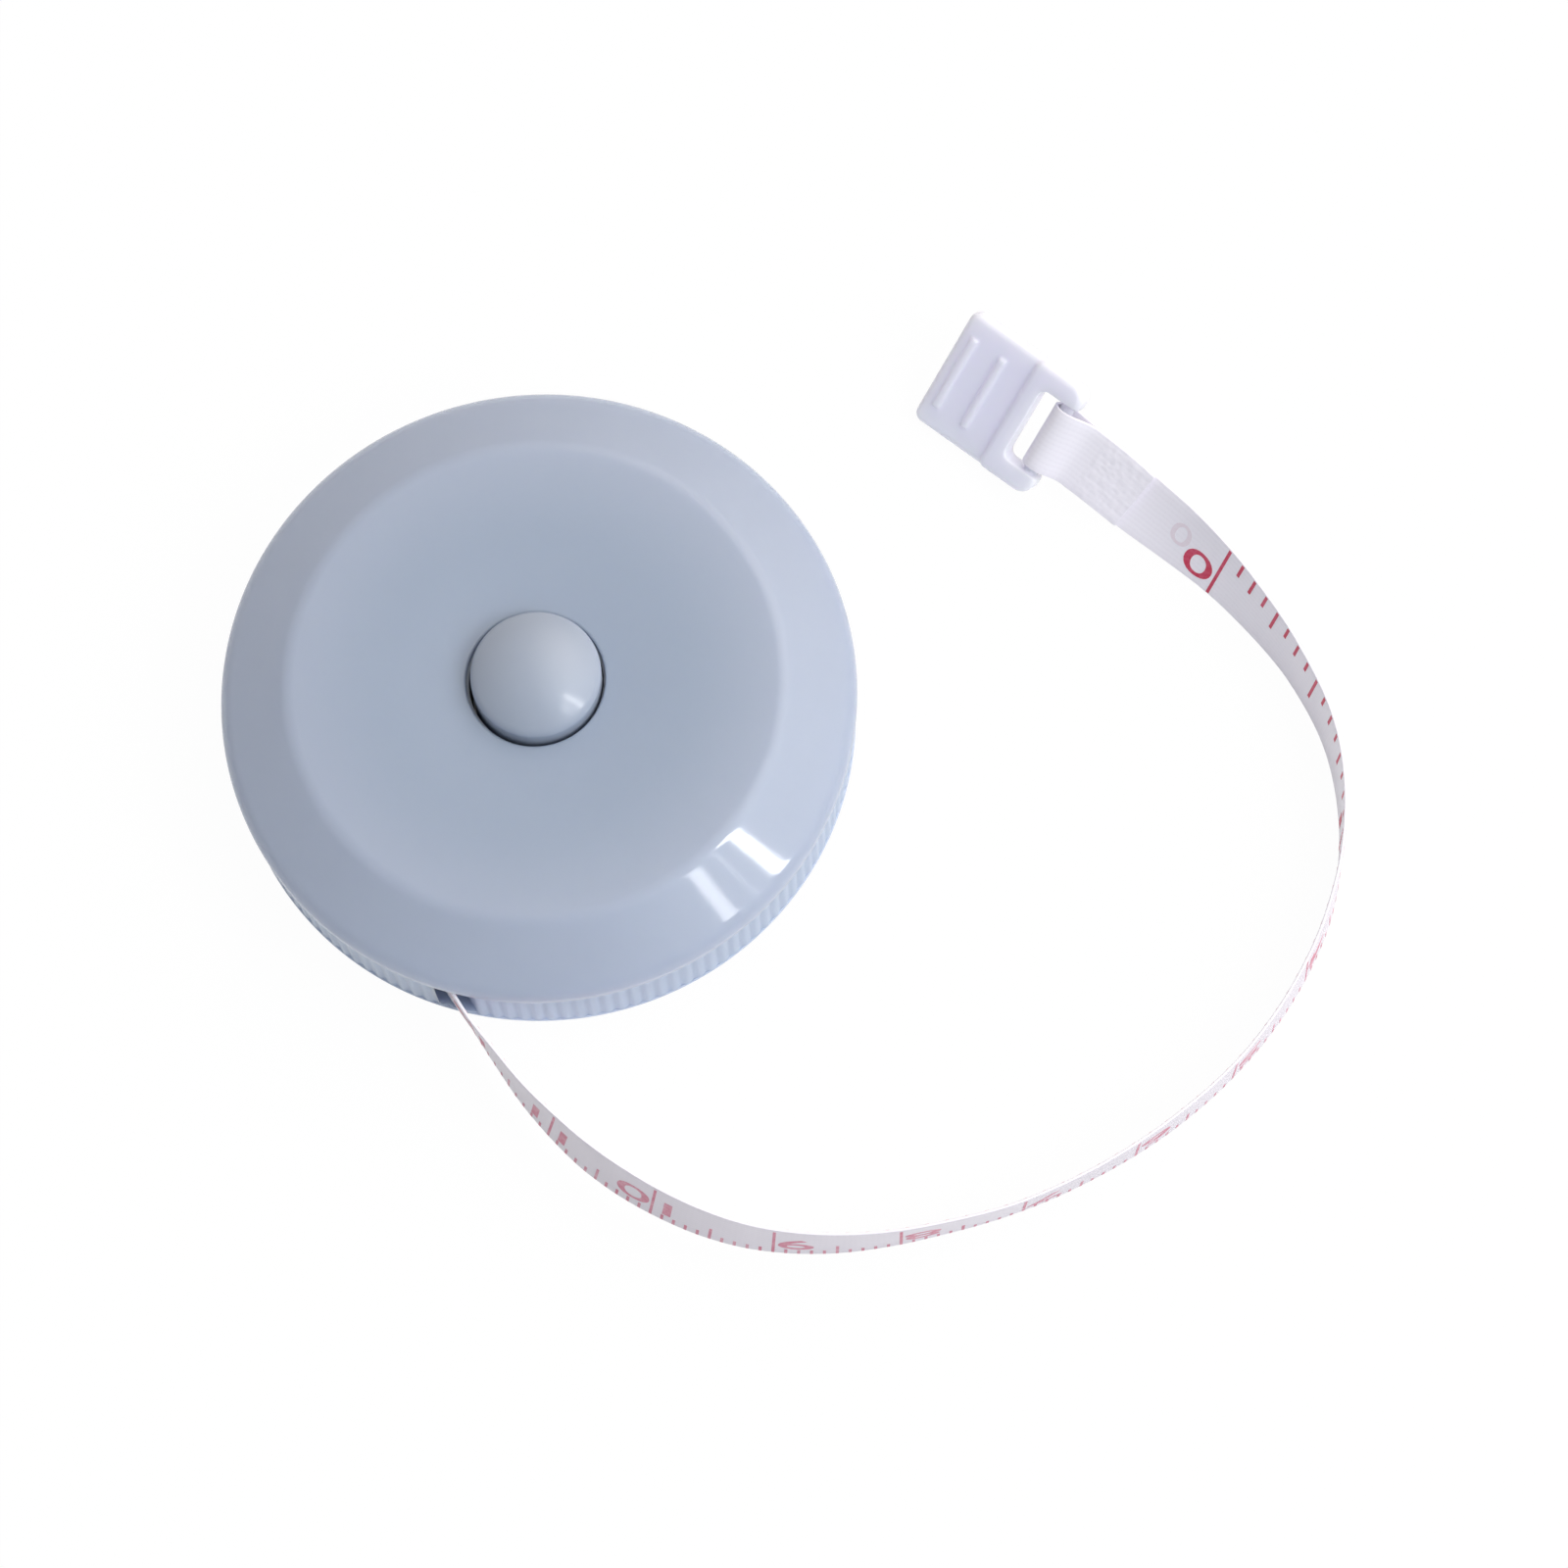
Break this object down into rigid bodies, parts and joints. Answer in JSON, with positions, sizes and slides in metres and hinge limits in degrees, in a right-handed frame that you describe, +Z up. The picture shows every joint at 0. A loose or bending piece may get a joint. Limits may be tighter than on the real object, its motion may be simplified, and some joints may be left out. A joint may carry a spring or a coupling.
{
  "type": "retractable cloth tape measure",
  "caption": "Round pocket case with a brake button on its lid and a limp printed tape that pulls from a mouth in the ribbed band and ends in a slotted pull tab.",
  "frame": {"origin": "centre of the case's flat underside, on the table", "axes": "+Z up along the button's and the reel's axis; +X to the right and +Y away from the viewer, with the tape leaving the mouth towards -Y"},
  "size_m": [0.0892, 0.0757, 0.0157],
  "materials": {
    "case_plastic": "glossy moulded",
    "button_plastic": "glossy moulded",
    "reel_plastic": "moulded",
    "brake_rubber": "matt",
    "spring_wire": "bright drawn",
    "spring_strip": "blue rolled",
    "tape_cloth": "coated and printed",
    "tab_plastic": "glossy moulded"
  },
  "bodies": {
    "case": {"bottom_shell": "case_plastic", "top_shell": "case_plastic", "button_spring": "spring_wire", "mainspring": "spring_strip", "tape_lead": "tape_cloth", "tape_free": "tape_cloth", "tape_fold": "tape_cloth"},
    "button": {"push_button": "button_plastic", "brake_ring": "brake_rubber"},
    "spool": {"reel": "reel_plastic", "reel_cover": "reel_plastic", "tape_pack": "tape_cloth"},
    "tab": {"end_tab": "tab_plastic"}
  },
  "joints": [
    {"name": "button_press", "type": "slide", "parent": "case", "child": "button", "axis": [0, 0, -1], "range_m": [0, 0.0012], "stiffness_N_per_m": 380, "deforming": ["button_spring"]},
    {"name": "spool_turn", "type": "hinge", "parent": "case", "child": "spool", "pos_m": [0, 0, 0.005], "axis": [0, 0, 1], "range_deg": [-400, 4950]},
    {"name": "tab_swing", "type": "hinge", "parent": "case", "child": "tab", "pos_m": [0.04319, 0.01946, 0.00407], "axis": [0.5224, 0.5602, 0.6428], "range_deg": [-90, 90]}
  ]
}
